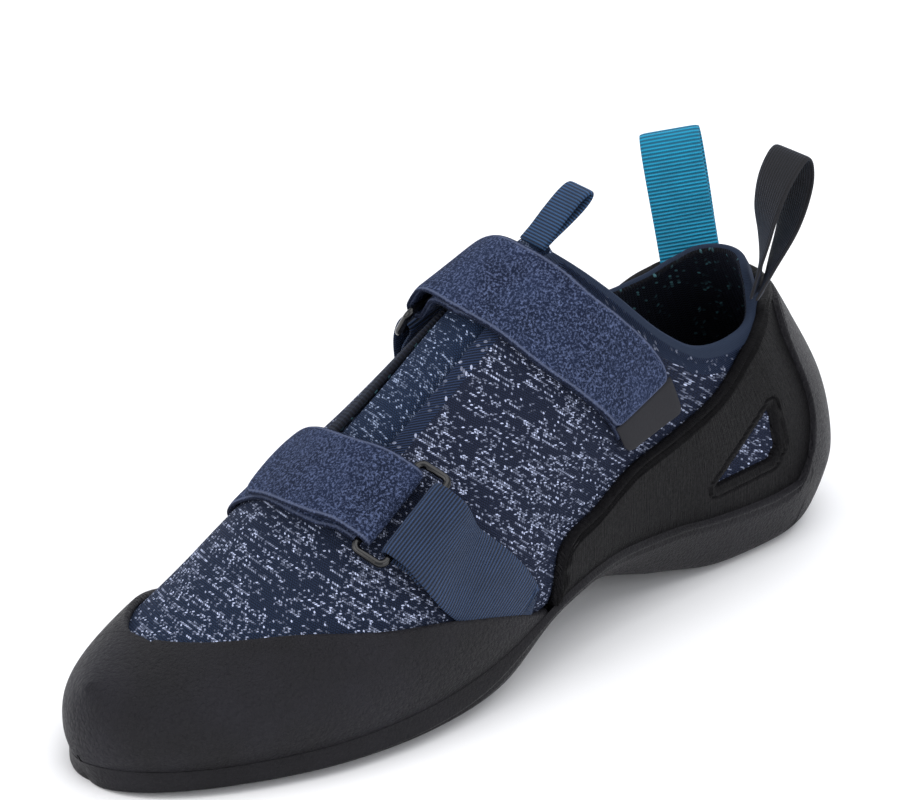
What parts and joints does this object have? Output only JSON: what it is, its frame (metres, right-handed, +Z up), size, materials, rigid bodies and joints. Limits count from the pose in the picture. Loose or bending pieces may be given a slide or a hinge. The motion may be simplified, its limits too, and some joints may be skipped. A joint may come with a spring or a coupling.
{
  "type": "climbing shoe",
  "caption": "Climbing shoe for the left foot: knitted upper, rubber toe, heel and sole, two hook-and-loop straps through wire rings, pull loops at collar and tongue",
  "frame": {"origin": "the flat spot under the heel where the shoe rests, on the floor", "axes": "+X from heel to toe, +Y to the outer side of the left foot, +Z up"},
  "size_m": [0.2678, 0.087, 0.1227],
  "materials": {
    "rubber": "moulded climbing rubber, black, fine grain, soft satin",
    "side_rubber": "moulded rubber, black, finely ribbed, matt",
    "knit": "navy knit with pale flecks",
    "tongue_knit": "navy knit, coarser, with pale flecks",
    "velour": "blue velour nap of a hook-and-loop strap",
    "webbing": "ribbed navy webbing",
    "navy_tape": "ribbed navy tape",
    "teal_tape": "ribbed teal tape",
    "black_tape": "woven black tape",
    "wire": "black coated wire",
    "tab": "smooth dark grey end of a strap",
    "board": "black insole"
  },
  "bodies": {
    "root": {"outsole": "rubber", "toe_rand": "rubber", "heel_rand": "side_rubber", "upper": "knit", "tongue": "tongue_knit", "insole": "board", "front_strap": "velour", "front_webbing": "webbing", "front_ring": "wire", "rear_strap": "velour", "rear_strap_tab": "tab", "rear_webbing": "webbing", "rear_ring": "wire", "tongue_loop": "navy_tape", "side_loop": "teal_tape", "heel_loop": "black_tape"}
  },
  "joints": []
}
